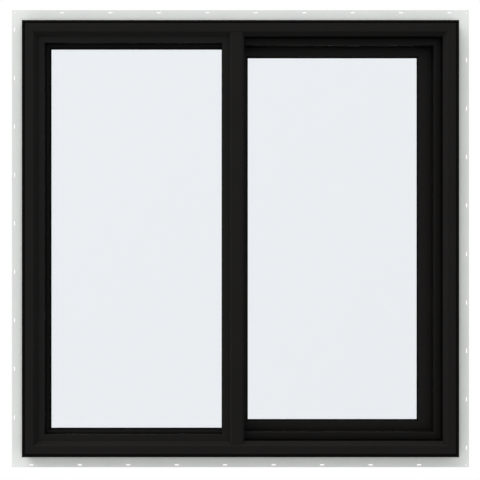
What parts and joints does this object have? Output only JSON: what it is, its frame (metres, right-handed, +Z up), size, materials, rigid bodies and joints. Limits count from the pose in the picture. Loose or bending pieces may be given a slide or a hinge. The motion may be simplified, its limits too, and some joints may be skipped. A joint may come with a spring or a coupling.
{
  "type": "horizontal sliding window",
  "caption": "Square dark framed window with a nail fin, a fixed glazed panel on one side and a glazed sash that slides sideways behind it.",
  "frame": {"origin": "on the back face of the nail fin at the sill, on the window's vertical centre line, level with the frame's bottom edge", "axes": "+X to the right as seen from outside, +Y into the room, at right angles to the nail fin's back face, and +Z up"},
  "size_m": [0.9578, 0.0878, 0.9577],
  "materials": {
    "dark_frame": "near black coloured plastic profile, satin",
    "pale_fin": "pale plastic, uncoated",
    "glass": "clear flat glass",
    "spacer_bar": "dark spacer bar, matt",
    "black_gasket": "black glazing rubber",
    "pile": "dark brush pile",
    "bare_rail": "plain drawn aluminium",
    "roller_block": "moulded dark plastic",
    "roller_wheel": "pale moulded plastic",
    "dark_hardware": "near black coating on cast metal"
  },
  "bodies": {
    "frame": {"frame_head": "dark_frame", "frame_sill": "dark_frame", "frame_jamb_left": "dark_frame", "frame_jamb_right": "dark_frame", "nail_fin_head": "pale_fin", "nail_fin_sill": "pale_fin", "nail_fin_left": "pale_fin", "nail_fin_right": "pale_fin", "fixed_panel_top_rail": "dark_frame", "fixed_panel_bottom_rail": "dark_frame", "fixed_panel_side_stile": "dark_frame", "centre_mullion": "dark_frame", "fixed_bead_top": "dark_frame", "fixed_bead_bottom": "dark_frame", "fixed_bead_left": "dark_frame", "fixed_glass_outer_pane": "glass", "fixed_glass_inner_pane": "glass", "fixed_glass_spacer": "spacer_bar", "fixed_glass_gasket": "black_gasket", "track_cover_head": "dark_frame", "track_cover_sill": "dark_frame", "track_cover_jamb": "dark_frame", "sill_rail": "bare_rail", "head_guide": "dark_frame", "pile_seals": "pile", "track_stops": "black_gasket", "lock_keeper": "bare_rail"},
    "sash": {"sash_top_rail": "dark_frame", "sash_bottom_rail": "dark_frame", "sash_meeting_stile": "dark_frame", "sash_pull_stile": "dark_frame", "sash_bead_top": "dark_frame", "sash_bead_bottom": "dark_frame", "sash_bead_left": "dark_frame", "sash_bead_right": "dark_frame", "sash_glass_outer_pane": "glass", "sash_glass_inner_pane": "glass", "sash_glass_spacer": "spacer_bar", "sash_glass_gasket": "black_gasket", "roller_housings": "roller_block", "roller_wheels": "roller_wheel", "head_guide_shoes": "roller_block", "sash_lock_base": "dark_hardware", "sash_lock_lever": "dark_hardware"}
  },
  "joints": [
    {"name": "sash_slide", "type": "slide", "parent": "frame", "child": "sash", "axis": [-1, 0, 0], "range_m": [0, 0.388]}
  ]
}
